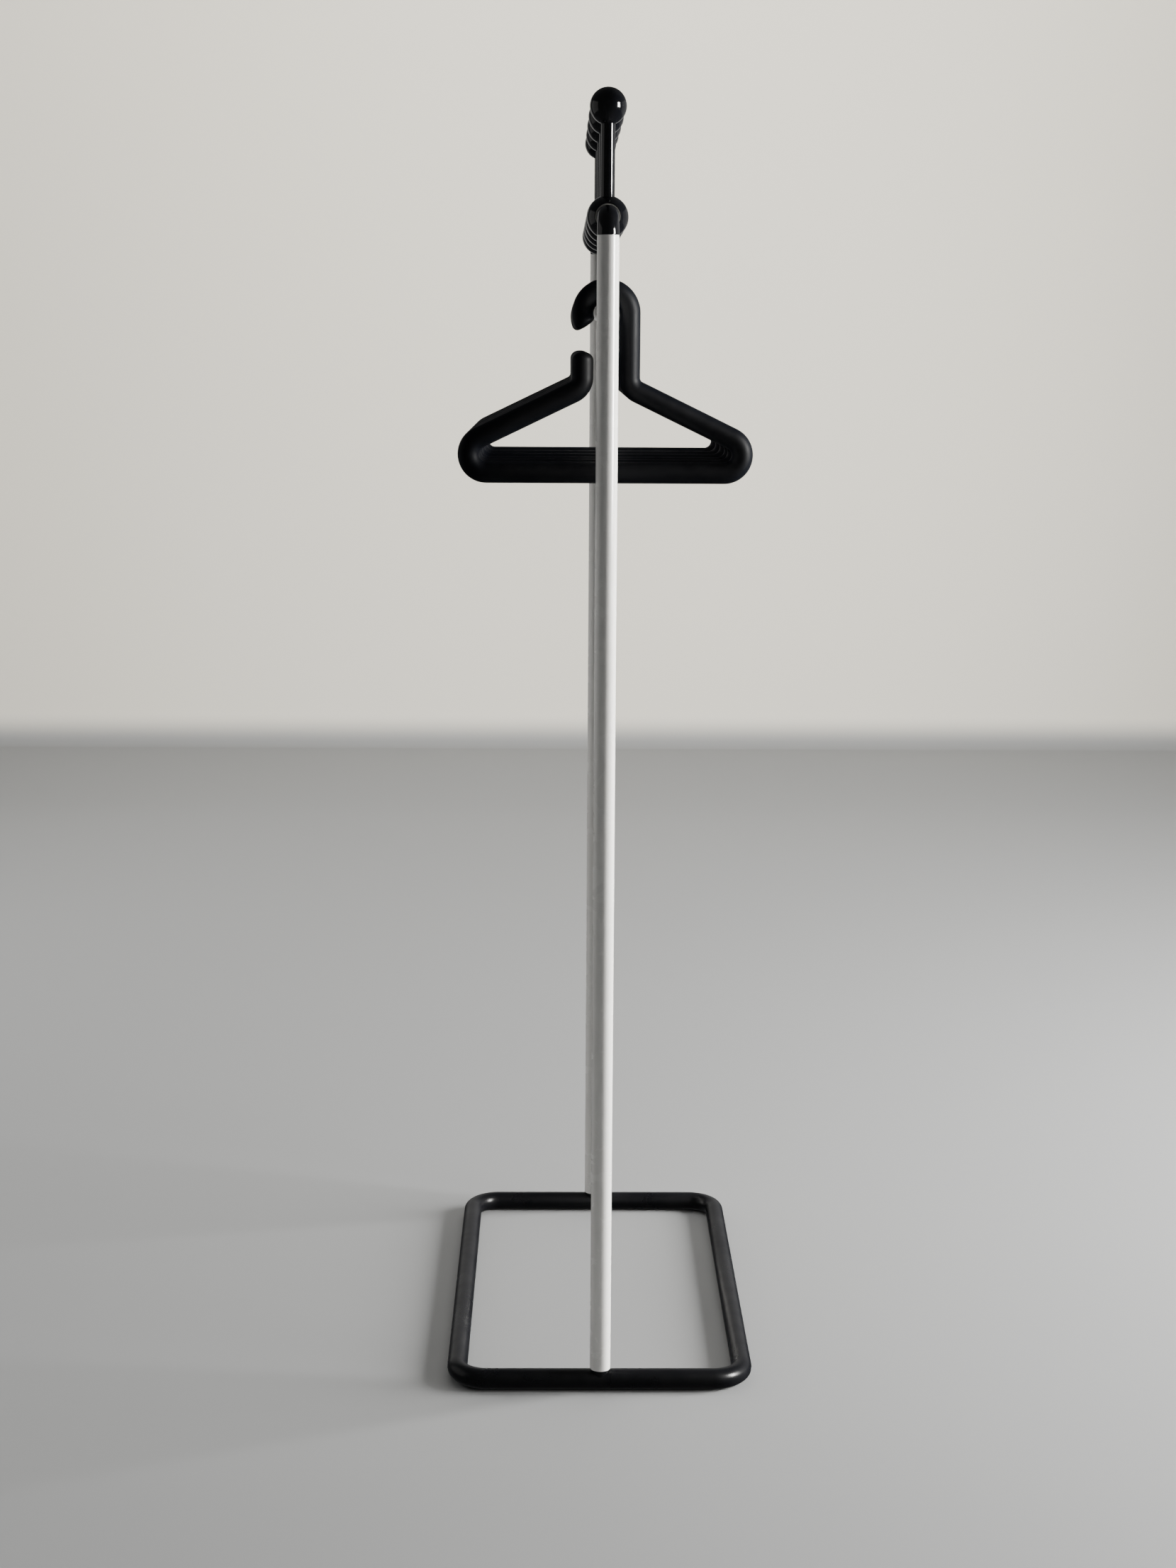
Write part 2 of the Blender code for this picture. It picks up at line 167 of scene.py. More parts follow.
class StandPeg(bpy.types.PropertyGroup):
    """The ball headed pegs."""
    hub_r: bpy.props.FloatProperty(
        name="Hub radius", description="Radius of the round hub on the rail",
        default=0.0285, min=0.02, max=0.04, subtype="DISTANCE", unit="LENGTH")
    sleeve_wall: bpy.props.FloatProperty(
        name="Sleeve wall", description="Wall of the nylon sleeve inside the hub",
        default=0.0017, min=0.001, max=0.003, subtype="DISTANCE", unit="LENGTH")
    rod_r: bpy.props.FloatProperty(
        name="Peg radius", description="Radius of the peg's rod",
        default=0.0095, min=0.005, max=0.015, subtype="DISTANCE", unit="LENGTH")
    ball_r: bpy.props.FloatProperty(
        name="Ball radius", description="Radius of the ball on the peg",
        default=0.025, min=0.015, max=0.04, subtype="DISTANCE", unit="LENGTH")
    hub_socket: bpy.props.FloatProperty(
        name="Hub socket", description="Depth of the peg's socket below the top of the hub",
        default=0.008, min=0.003, max=0.011, subtype="DISTANCE", unit="LENGTH")
    ball_socket: bpy.props.FloatProperty(
        name="Ball socket", description="Depth of the peg's socket above the bottom of the ball",
        default=0.014, min=0.004, max=0.03, subtype="DISTANCE", unit="LENGTH")
    ease: bpy.props.FloatProperty(
        name="Socket edge", description="Radius on the mouths of the sockets and the bores",
        default=0.0007, min=0.0001, max=0.002, subtype="DISTANCE", unit="LENGTH")


class StandHanger(bpy.types.PropertyGroup):
    """The bent hangers."""
    radius: bpy.props.FloatProperty(
        name="Section radius", description="Radius of the round section",
        default=0.015, min=0.008, max=0.02, subtype="DISTANCE", unit="LENGTH")
    width: bpy.props.FloatProperty(
        name="Width", description="Width over the two ends",
        default=0.412, min=0.3, max=0.5, subtype="DISTANCE", unit="LENGTH")
    drop: bpy.props.FloatProperty(
        name="Drop", description="From the hook's centre to the lower bar's centre line",
        default=0.218, min=0.15, max=0.3, subtype="DISTANCE", unit="LENGTH")
    neck: bpy.props.FloatProperty(
        name="Neck", description="From the hook's centre down to the shoulder corners",
        default=0.101, min=0.06, max=0.15, subtype="DISTANCE", unit="LENGTH")
    stub: bpy.props.FloatProperty(
        name="Stub", description="From the shoulder corner up to the top of the stub",
        default=0.049, min=0.02, max=0.08, subtype="DISTANCE", unit="LENGTH")
    end_bend: bpy.props.FloatProperty(
        name="End bend", description="Bend radius at the two ends to the centre line",
        default=0.025, min=0.016, max=0.05, subtype="DISTANCE", unit="LENGTH")
    neck_bend: bpy.props.FloatProperty(
        name="Neck bend", description="Bend radius at the shoulder corners to the centre line",
        default=0.022, min=0.016, max=0.05, subtype="DISTANCE", unit="LENGTH")
    hook_r: bpy.props.FloatProperty(
        name="Hook radius", description="Radius of the hook to the centre line",
        default=0.0324, min=0.025, max=0.05, subtype="DISTANCE", unit="LENGTH")
    hook_past: bpy.props.FloatProperty(
        name="Hook curl", description="How far the tip curls in past half a turn",
        default=math.radians(24) + 0.005 / 0.0324, min=0, max=0.8, subtype="ANGLE", unit="ROTATION")
    hook_tip: bpy.props.FloatProperty(
        name="Hook tip", description="Length over which the hook's end is rounded",
        default=0.009, min=0.004, max=0.015, subtype="DISTANCE", unit="LENGTH")
    stub_tip: bpy.props.FloatProperty(
        name="Stub tip", description="Length over which the stub's end is rounded",
        default=0.0125, min=0.004, max=0.02, subtype="DISTANCE", unit="LENGTH")


class StandStage(bpy.types.PropertyGroup):
    """Floor, light and camera."""
    floor: bpy.props.FloatVectorProperty(
        name="Floor colour", description="Colour of the floor",
        default=(0.27, 0.275, 0.28), size=3, min=0, max=1, subtype="COLOR")
    wall: bpy.props.FloatVectorProperty(
        name="Wall colour", description="Colour of the wall round the floor",
        default=(0.77, 0.735, 0.64), size=3, min=0, max=1, subtype="COLOR")
    room_r: bpy.props.FloatProperty(
        name="Room half width", description="From the middle of the floor to the wall",
        default=5.2, min=3, max=12, subtype="DISTANCE", unit="LENGTH")
    window: bpy.props.FloatProperty(
        name="Window light", description="Power of the tall soft light on the right",
        default=900, min=0, max=2000, subtype="POWER", unit="POWER")
    window_glow: bpy.props.FloatProperty(
        name="Window glow", description="Radiance of the window that gleams in the polished pieces",
        default=130, min=0, max=2000)
    room_glow: bpy.props.FloatProperty(
        name="Room glow", description="Radiance of the room that gleams in the pieces",
        default=0.35, min=0, max=20)
    ceiling: bpy.props.FloatProperty(
        name="Ceiling light", description="Power of the wide soft light overhead",
        default=15, min=0, max=2000, subtype="POWER", unit="POWER")
    wash: bpy.props.FloatProperty(
        name="Wall light", description="Power of the soft light on the wall behind the stand",
        default=240, min=0, max=2000, subtype="POWER", unit="POWER")
    lens: bpy.props.FloatProperty(
        name="Lens", description="Focal length in millimetres on a 36 mm frame height",
        default=53.695, min=20, max=200, subtype="DISTANCE_CAMERA", unit="CAMERA")
    distance: bpy.props.FloatProperty(
        name="Distance", description="From the camera to the near post",
        default=3.193, min=1, max=10, subtype="DISTANCE", unit="LENGTH")
    height: bpy.props.FloatProperty(
        name="Height", description="Height of the camera above the floor",
        default=1.504, min=0.2, max=3, subtype="DISTANCE", unit="LENGTH")
    offset: bpy.props.FloatProperty(
        name="Offset", description="How far the camera stands to the side of the posts",
        default=-0.0630, min=-1, max=1, subtype="DISTANCE", unit="LENGTH")
    pitch: bpy.props.FloatProperty(
        name="Pitch", description="How far the camera looks down",
        default=math.radians(10.74), min=0, max=1, subtype="ANGLE", unit="ROTATION")
    yaw: bpy.props.FloatProperty(
        name="Yaw", description="How far the camera is turned to the right",
        default=math.radians(0.724), min=-1, max=1, subtype="ANGLE", unit="ROTATION")
    roll: bpy.props.FloatProperty(
        name="Roll", description="How far the camera is tilted in its own plane",
        default=math.radians(0.338), min=-1, max=1, subtype="ANGLE", unit="ROTATION")


# ---------------------------------------------------------------- lines and sections
def bend_line(corners, radii, closed=False, step=math.radians(4)):
    """Points and directions of a line of straight runs joined by round bends.

    At each corner the line turns by the angle between its runs, on a circle that touches both.  A point on
    it is the circle's centre plus the starting spoke, turned: cosine times the spoke plus sine times the
    spoke's quarter turn.
    """
    points, ways = [], []
    count = len(corners)
    if not closed:
        first = corners[1] - corners[0]
        points.append(corners[0][None])
        ways.append((first / np.linalg.norm(first))[None])
    for i in (range(count) if closed else range(1, count - 1)):
        before = corners[i] - corners[i - 1]
        after = corners[(i + 1) % count] - corners[i]
        before, after = before / np.linalg.norm(before), after / np.linalg.norm(after)
        axis = np.cross(before, after)
        axis /= np.linalg.norm(axis)
        turn = math.acos(np.clip(before @ after, -1, 1))
        start = corners[i] - before * radii[i] * math.tan(turn / 2)
        centre = start + np.cross(axis, before) * radii[i]
        angle = np.linspace(0, turn, max(3, math.ceil(turn / step)) + 1)[:, None]
        spoke = start - centre
        points.append(centre + np.cos(angle) * spoke + np.sin(angle) * np.cross(axis, spoke))
        ways.append(np.cos(angle) * before + np.sin(angle) * np.cross(axis, before))
    if not closed:
        last = corners[-1] - corners[-2]
        points.append(corners[-1][None])
        ways.append((last / np.linalg.norm(last))[None])
    return np.concatenate(points), np.concatenate(ways)


def carried(points, ways, radii, normal, sides):
    """Grid of a circle carried along a flat line: the point plus the radius times the circle that the plane's
    normal and the line's own perpendicular span."""
    angle = np.linspace(0, 2 * math.pi, sides, endpoint=False)[None, :, None]
    across = np.cross(normal, ways)[:, None, :]
    circle = np.cos(angle) * across + np.sin(angle) * normal
    return points[:, None, :] + np.asarray(radii)[:, None, None] * circle


def turned(radii, heights, sides):
    """Grid of a turned shape about Z: each profile point's radius times the unit circle, at its height."""
    angle = np.linspace(0, 2 * math.pi, sides, endpoint=False)
    radii, heights = np.asarray(radii, float)[:, None], np.asarray(heights, float)[:, None]
    return np.stack((radii * np.cos(angle), radii * np.sin(angle), heights + 0 * angle), axis=-1)


def laid_along_y(grid, way=1):
    """The same grid with its Z axis laid along Y, or against it: a quarter turn about X."""
    return np.stack((grid[..., 0], way * grid[..., 2], -way * grid[..., 1]), axis=-1)


def corner_arc(radius, height, ease, start, steps=4):
    """Quarter circle of a profile about (radius, height), starting at an angle measured from outwards."""
    angle = start + np.linspace(0, math.pi / 2, steps + 1)
    return radius + ease * np.cos(angle), height + ease * np.sin(angle)


def wall_profile(inner, outer, low, high, ease):
    """Closed profile of a tube's wall: a rectangle whose four corners are quarter circles."""
    quarter = math.pi / 2
    arcs = (corner_arc(outer - ease, low + ease, ease, -quarter),
            corner_arc(outer - ease, high - ease, ease, 0),
            corner_arc(inner + ease, high - ease, ease, quarter),
            corner_arc(inner + ease, low + ease, ease, math.pi))
    return np.concatenate([a[0] for a in arcs]), np.concatenate([a[1] for a in arcs])


def dome(radius, length, power, steps=12):
    """Rounded end of a bar as (radii, reaches): a superellipse quarter, from just inside the full radius to
    just short of the axis."""
    angle = np.linspace(0, math.pi / 2, steps + 1)[1:-1]
    return radius * np.cos(angle) ** (2 / power), length * np.sin(angle) ** (2 / power)


# ---------------------------------------------------------------- meshes
def faces_of(rows, columns, closed_rows=False, closed_columns=True):
    """Quads between neighbouring rows and columns of a grid, either of which may close into a ring."""
    row = np.arange(rows if closed_rows else rows - 1)[:, None]
    column = np.arange(columns if closed_columns else columns - 1)[None, :]
    below, after = (row + 1) % rows, (column + 1) % columns
    quads = np.stack((row * columns + column, row * columns + after, below * columns + after,
                      below * columns + column), axis=-1)
    return quads.reshape(-1, 4)


def signed_volume(points, triangles):
    """Six times the volume inside a closed surface, negative where its faces point inwards."""
    a, b, c = (points[triangles[:, k]] for k in range(3))
    return float(np.einsum("ij,ij->i", a, np.cross(b, c)).sum())


def mesh_object(name, grid, closed_rows=False, poles=(None, None)):
    """Closed mesh from a grid, with its two open ends joined to pole points by fans, facing outwards."""
    first_pole, last_pole = poles
    rows, columns = grid.shape[:2]
    points = grid.reshape(-1, 3)
    quads = faces_of(rows, columns, closed_rows)
    column = np.arange(columns)
    after = (column + 1) % columns
    fans = np.empty((0, 3), int)
    if first_pole is not None:
        points = np.vstack((points, first_pole))
        fans = np.vstack((fans, np.stack((0 * column + len(points) - 1, after, column), axis=-1)))
    if last_pole is not None:
        points = np.vstack((points, last_pole))
        edge = (rows - 1) * columns
        last_fan = np.stack((0 * column + len(points) - 1, edge + column, edge + after), axis=-1)
        fans = np.vstack((fans, last_fan))
    triangles = np.vstack((quads[:, (0, 1, 2)], quads[:, (0, 2, 3)], fans))
    if signed_volume(points, triangles) < 0:
        quads, fans = quads[:, ::-1], fans[:, ::-1]
    mesh = bpy.data.meshes.new(name)
    mesh.from_pydata(points.tolist(), [], quads.tolist() + fans.tolist())
    if mesh.validate(verbose=False):
        raise RuntimeError(name + " has a broken face")
    made = bpy.data.objects.new(name, mesh)
    bpy.context.scene.collection.objects.link(made)
    return made


def cut(piece, cutters):
    """Take the cutters' solids out of a piece, keep the result as its mesh and remove the cutters."""
    for cutter in cutters:
        step = piece.modifiers.new(cutter.name, "BOOLEAN")
        step.operation = "DIFFERENCE"
        step.solver = "EXACT"
        step.object = cutter
    bpy.context.view_layer.update()
    result = bpy.data.meshes.new_from_object(piece.evaluated_get(bpy.context.evaluated_depsgraph_get()))
    if len(result.polygons) <= len(piece.data.polygons) // 2:
        raise RuntimeError("cutting " + piece.name + " lost its surface")
    piece.modifiers.clear()
    piece.data = result
    for cutter in cutters:
        bpy.data.objects.remove(cutter, do_unlink=True)
    return piece


def settle(piece, body, finish, sharp=math.radians(50)):
    """Shade a finished piece, give it its finish and let it stand for the CAD node it is named after."""
    node = piece.name.removesuffix("_skin")
    piece.data.materials.clear()
    piece.data.materials.append(finish)
    piece.data.shade_smooth()
    piece.data.set_sharp_from_angle(angle=sharp)
    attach(piece, body)
    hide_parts(node)
    return piece


# ---------------------------------------------------------------- finishes
class Finish:
    """A node material under construction: small helpers that add and link nodes."""

    def __init__(self, name, roughness, metallic=0.0):
        self.material = bpy.data.materials.new(name)
        self.material.use_nodes = True
        self.tree = self.material.node_tree
        self.shader = self.tree.nodes["Principled BSDF"]
        self.shader.inputs["Roughness"].default_value = roughness
        self.shader.inputs["Metallic"].default_value = metallic
        self.place = self.node("ShaderNodeTexCoord").outputs["Object"]

    def node(self, kind, **settings):
        made = self.tree.nodes.new(kind)
        for key, value in settings.items():
            setattr(made, key, value)
        return made

    def link(self, source, target):
        self.tree.links.new(source, target)

    def noise(self, scale, detail=2.0, rough=0.5, stretch=(1, 1, 1), warp=0.0):
        """Soft noise on the object's own coordinates, in lumps per metre, drawn out along an axis."""
        mapping = self.node("ShaderNodeMapping")
        mapping.inputs["Scale"].default_value = stretch
        self.link(self.place, mapping.inputs["Vector"])
        made = self.node("ShaderNodeTexNoise")
        made.inputs["Scale"].default_value = scale
        made.inputs["Detail"].default_value = detail
        made.inputs["Roughness"].default_value = rough
        made.inputs["Distortion"].default_value = warp
        self.link(mapping.outputs["Vector"], made.inputs["Vector"])
        return made.outputs["Fac"]

    def spread(self, value, low, high, to_low, to_high):
        """Map a value from one range to another, smoothly and clamped."""
        made = self.node("ShaderNodeMapRange", interpolation_type="SMOOTHSTEP")
        for key, number in (("From Min", low), ("From Max", high), ("To Min", to_low), ("To Max", to_high)):
            made.inputs[key].default_value = number
        self.link(value, made.inputs["Value"])
        return made.outputs["Result"]

    def maths(self, operation, first, second):
        made = self.node("ShaderNodeMath", operation=operation)
        for socket, value in zip(made.inputs, (first, second)):
            if isinstance(value, (int, float)):
                socket.default_value = value
            else:
                self.link(value, socket)
        return made.outputs["Value"]

    def blend(self, amount, first, second):
        """Mix two colours by an amount; each is a socket or three numbers."""
        made = self.node("ShaderNodeMix", data_type="RGBA")
        self.link(amount, made.inputs["Factor"])
        for socket, value in ((made.inputs[6], first), (made.inputs[7], second)):
            if isinstance(value, bpy.types.NodeSocket):
                self.link(value, socket)
            else:
                socket.default_value = (*value, 1.0)
        return made.outputs[2]

    def bumps(self, *layers):
        """Chain bump nodes, each from (height, strength, distance in metres)."""
        normal = None
        for height, strength, distance in layers:
            made = self.node("ShaderNodeBump")
            made.inputs["Strength"].default_value = strength
            made.inputs["Distance"].default_value = distance
            self.link(height, made.inputs["Height"])
            if normal is not None:
                self.link(normal, made.inputs["Normal"])
            normal = made.outputs["Normal"]
        self.link(normal, self.shader.inputs["Normal"])

    def height_above(self):
        """The point's height over the floor."""
        made = self.node("ShaderNodeSeparateXYZ")
        self.link(self.place, made.inputs["Vector"])
        return made.outputs["Z"]

    def facing_up(self):
        """How far the surface faces the ceiling, from -1 to 1."""
        geometry = self.node("ShaderNodeNewGeometry")
        made = self.node("ShaderNodeSeparateXYZ")
        self.link(geometry.outputs["Normal"], made.inputs["Vector"])
        return made.outputs["Z"]


def tinted(colour, share):
    """A colour lightened towards white by a share, or darkened by a negative one."""
    return tuple(c + (1 - c) * share if share > 0 else c * (1 + share) for c in colour)


def white_lacquer(look):
    """Sprayed white lacquer: faint cloudiness, orange peel, finger dulled patches and scuffs low down."""
    finish = Finish("white_lacquer_finish", look.white_gloss)
    shader = finish.shader
    cloud = finish.spread(finish.noise(9, 3), 0.35, 0.65, 0, 1)
    colour = finish.blend(cloud, look.white, tinted(look.white, -0.035))
    scratch = finish.noise(900, 2, 0.6, (1, 1, 0.12), 0.4)
    low_down = finish.spread(finish.height_above(), 0.04, 0.30, 1, 0.12)
    scuff = finish.maths("MULTIPLY", finish.spread(scratch, 0.66, 0.74, 0, 0.5), low_down)
    colour = finish.blend(scuff, colour, tinted(look.white, -0.45))
    finish.link(colour, shader.inputs["Base Color"])
    patches = finish.noise(26, 4, 0.6, warp=0.6)
    rough = finish.spread(patches, 0.35, 0.70, look.white_gloss - 0.05, look.white_gloss + 0.07)
    finish.link(finish.maths("ADD", rough, finish.maths("MULTIPLY", scuff, 0.2)), shader.inputs["Roughness"])
    shader.inputs["Coat Weight"].default_value = 0.35
    shader.inputs["Coat Roughness"].default_value = 0.10
    shader.inputs["IOR"].default_value = 1.50
    finish.bumps((finish.noise(420, 2), 0.10, 0.0004), (finish.noise(60, 2), 0.06, 0.001))
    return finish.material


def base_black(look):
    """Black lacquer on the base: a satin bloom, settled dust on top and fine rubbed marks."""
    finish = Finish("base_black_finish", look.base_gloss)
    shader = finish.shader
    cloud = finish.spread(finish.noise(14, 3), 0.35, 0.65, 0, 1)
    colour = finish.blend(cloud, look.black, tinted(look.black, 0.003))
    dust = finish.maths("MULTIPLY", finish.spread(finish.noise(1400, 2, 0.7), 0.60, 0.72, 0, 1),
                        finish.spread(finish.facing_up(), 0.55, 1.0, 0, 0.02))
    colour = finish.blend(dust, colour, (0.34, 0.33, 0.31))
    finish.link(colour, shader.inputs["Base Color"])
    rubbed = finish.spread(finish.noise(18, 4, 0.6, warp=0.8), 0.35, 0.68, -0.03, 0.05)
    rough = finish.maths("ADD", finish.maths("ADD", rubbed, look.base_gloss),
                         finish.maths("MULTIPLY", dust, 1.2))
    finish.link(rough, shader.inputs["Roughness"])
    shader.inputs["Specular IOR Level"].default_value = 0.36
    finish.bumps((finish.noise(700, 2), 0.02, 0.0002), (finish.noise(40, 1), 0.02, 0.001))
    return finish.material


def gloss_black(look):
    """Hard black plastic with a deep polish: faint mould waviness, finger marks and hairline marks."""
    finish = Finish("gloss_black_finish", look.plastic_gloss)
    shader = finish.shader
    cloud = finish.spread(finish.noise(30, 2), 0.35, 0.65, 0, 1)
    finish.link(finish.blend(cloud, look.black, tinted(look.black, 0.004)), shader.inputs["Base Color"])
    marks = finish.spread(finish.noise(95, 4, 0.62, warp=1.2), 0.48, 0.68, 0, 0.055)
    hairs = finish.spread(finish.noise(1600, 1, 0.5, (1, 0.08, 1)), 0.68, 0.74, 0, 0.05)
    rough = finish.maths("ADD", finish.maths("ADD", marks, hairs), look.plastic_gloss)
    finish.link(rough, shader.inputs["Roughness"])
    shader.inputs["Specular IOR Level"].default_value = 0.50
    finish.bumps((finish.noise(48, 1), 0.012, 0.001))
    return finish.material


def satin_black(look, hook_height, hook_inner_r):
    """Satin black of the hangers: fine grain, soft mottling and a rubbed track inside the hook.

    The track is where the distance from the hook's axis is little more than its inner radius.
    """
    track_full, track_end = hook_inner_r + 0.0008, hook_inner_r + 0.0051
    finish = Finish("satin_black_finish", look.satin_gloss)
    shader = finish.shader
    cloud = finish.spread(finish.noise(22, 4, 0.6), 0.35, 0.65, 0, 1)
    colour = finish.blend(cloud, look.hanger_black, tinted(look.hanger_black, 0.002))
    finish.link(colour, shader.inputs["Base Color"])
    centred = finish.node("ShaderNodeMapping")
    centred.inputs["Location"].default_value = (0, 0, -hook_height)
    finish.link(finish.place, centred.inputs["Vector"])
    flat = finish.node("ShaderNodeVectorMath", operation="MULTIPLY")
    flat.inputs[1].default_value = (1, 0, 1)
    finish.link(centred.outputs["Vector"], flat.inputs[0])
    spoke = finish.node("ShaderNodeVectorMath", operation="LENGTH")
    finish.link(flat.outputs["Vector"], spoke.inputs[0])
    track = finish.spread(spoke.outputs["Value"], track_full, track_end, -0.17, 0)
    mottle = finish.spread(finish.noise(60, 4, 0.6, warp=0.5), 0.35, 0.68, -0.03, 0.04)
    rough = finish.maths("ADD", finish.maths("ADD", mottle, track), look.satin_gloss)
    finish.link(rough, shader.inputs["Roughness"])
    shader.inputs["Specular IOR Level"].default_value = 0.11
    finish.bumps((finish.noise(1500, 2, 0.6), 0.16, 0.0002), (finish.noise(60, 1), 0.02, 0.001))
    return finish.material


def sleeve_nylon(look):
    """Natural nylon with turning marks round its axis."""
    finish = Finish("sleeve_nylon_finish", 0.5)
    colour = finish.blend(finish.noise(200, 2), look.nylon, tinted(look.nylon, -0.08))
    finish.link(colour, finish.shader.inputs["Base Color"])
    finish.bumps((finish.noise(1800, 1, 0.5, (0.05, 1, 0.05)), 0.1, 0.0002))
    return finish.material


def screw_steel(look):
    """Zinc plated steel with a blotchy plating."""
    finish = Finish("screw_steel_finish", 0.32, 1.0)
    colour = finish.blend(finish.noise(500, 3), look.steel, tinted(look.steel, -0.2))
    finish.link(colour, finish.shader.inputs["Base Color"])
    finish.link(finish.spread(finish.noise(900, 2), 0.3, 0.7, 0.24, 0.42), finish.shader.inputs["Roughness"])
    finish.bumps((finish.noise(2500, 1), 0.08, 0.0001))
    return finish.material


def stage_paint(stage):
    """Matt pale paint: one colour on the floor, a lighter one up the wall, where painted light makes the wall
    lighter near the floor and fades out higher up.
    """
    finish = Finish("stage_paint", 0.8)
    cloud = finish.noise(0.6, 2)
    floor = finish.blend(cloud, stage.floor, tinted(stage.floor, -0.04))
    # painted light: the wall is painted lighter near the floor, fading to its own colour by 2.8 m up
    painted_light_fade = finish.spread(finish.height_above(), 0.2, 2.8, 0, 1)
    wall = finish.blend(painted_light_fade, tinted(stage.wall, 0.1), stage.wall)
    colour = finish.blend(finish.spread(finish.height_above(), 0.01, 0.12, 0, 1), floor, wall)
    finish.link(colour, finish.shader.inputs["Base Color"])
    return finish.material


def finish_named(name):
    """A finish that the first operator made."""
    found = bpy.data.materials.get(name)
    if found is None:
        raise RuntimeError("the finishes come first: there is no " + name)
    return found


# ---------------------------------------------------------------- operators
class STAND_OT_finishes(bpy.types.Operator):
    """Make the finishes, and give the two screws, which stay as they are, theirs"""
    bl_idname = "stand.finishes"
    bl_label = "Finishes"

    def execute(self, context):
        look = context.scene.stand_finish
        hanger = context.scene.stand_hanger
        tube = context.scene.stand_tube
        white_lacquer(look)
        base_black(look)
        gloss_black(look)
        hook_height = BAR_Z + tube.bar_r + GAP + hanger.radius - hanger.hook_r
        satin_black(look, hook_height, hanger.hook_r - hanger.radius)
        sleeve_nylon(look)
        steel = screw_steel(look)
        for label in ("near", "far"):
            screw = frame["nodes"]["base_bolt_" + label]
            screw.data.materials.clear()
            screw.data.materials.append(steel)
        return {"FINISHED"}


class STAND_OT_base(bpy.types.Operator):
    """Build the bent base tube and the two necks that the posts slip over"""
    bl_idname = "stand.base"
    bl_label = "Base"

    def execute(self, context):
        tube = context.scene.stand_tube
        half_x, half_y = BASE_HIGH[0] - BASE_R, BASE_HIGH[1] - BASE_R
        corners = [np.array((x, y, BASE_R)) for x, y in
                   ((half_x, -half_y), (half_x, half_y), (-half_x, half_y), (-half_x, -half_y))]
        line, ways = bend_line(corners, [tube.base_bend] * 4, closed=True)
        ones = np.ones(len(line))
        skin = carried(line, ways, BASE_R * ones, Z_WAY, tube.sides)
        hollow = carried(line, ways, (BASE_R - tube.base_wall) * ones, Z_WAY, tube.sides // 2)
        loop = mesh_object("base_loop_skin", skin, closed_rows=True)
        cutters = [mesh_object("base_hollow", hollow, closed_rows=True)]
        for label, y in (("near", -POST_Y), ("far", POST_Y)):
            cutters.append(self.bolt_hole(label, y))
        settle(cut(loop, cutters), "stand", finish_named("base_black_finish"))
        for label, y in (("near", -POST_Y), ("far", POST_Y)):
            self.neck(label, y, tube)
        return {"FINISHED"}

    def bolt_hole(self, label, y):
        """Stepped cutter: the access hole for the screw's head below, the hole for its thread above."""
        low, high = box_of("base_bolt_" + label)
        head_r = (high[0] - low[0]) / 2 + HEAD_ROOM
        radii = (head_r, head_r, BOLT_BORE_R, BOLT_BORE_R)
        heights = (-OVERRUN, BASE_R, BASE_R, 2 * BASE_R + OVERRUN)
        grid = turned(radii, heights, 40) + np.array((0, y, 0))
        return mesh_object("bolt_hole_" + label, grid, poles=((0, y, heights[0]), (0, y, heights[-1])))

    def neck(self, label, y, tube):
        """Turned neck whose foot follows the round of the base tube.

        The foot's height is the root of the tube's radius squared less the distance from the tube's crown
        line squared, so it seats on the tube all round; the rest is turned about the post's axis.
        """
        top = box_of("base_spigot_" + label)[1][2]
        bore_top = box_of("base_bolt_" + label)[1][2] + TIP_ROOM
        chamfer = 0.002
        neck_r = tube.post_r - tube.post_wall - GAP
        foot = np.linspace(BOLT_BORE_R, neck_r, 8)
        radii = np.concatenate(((BOLT_BORE_R,), foot, (neck_r, neck_r - chamfer)))
        heights = np.concatenate(((bore_top,), 0 * foot, (top - chamfer, top)))
        grid = turned(radii, heights, tube.sides)
        seat = slice(1, 1 + len(foot))
        grid[seat, :, 2] = BASE_R + np.sqrt((BASE_R + GAP) ** 2 - grid[seat, :, 1] ** 2)
        grid = grid + np.array((0, y, 0))
        neck = mesh_object("base_spigot_%s_skin" % label, grid, poles=((0, y, bore_top), (0, y, top)))
        settle(neck, "stand", finish_named("base_black_finish"))


class STAND_OT_posts(bpy.types.Operator):
    """Build the two white posts as open tubes with eased ends"""
    bl_idname = "stand.posts"
    bl_label = "Posts"

    def execute(self, context):
        tube = context.scene.stand_tube
        for label, y in (("near", -POST_Y), ("far", POST_Y)):
            low, high = box_of("post_" + label)
            inner = tube.post_r - tube.post_wall
            radii, heights = wall_profile(inner, tube.post_r, low[2], high[2], tube.ease)
            grid = turned(radii, heights, tube.sides) + np.array((0, y, 0))
            post = mesh_object("post_%s_skin" % label, grid, closed_rows=True)
            settle(post, "stand", finish_named("white_lacquer_finish"))
        return {"FINISHED"}


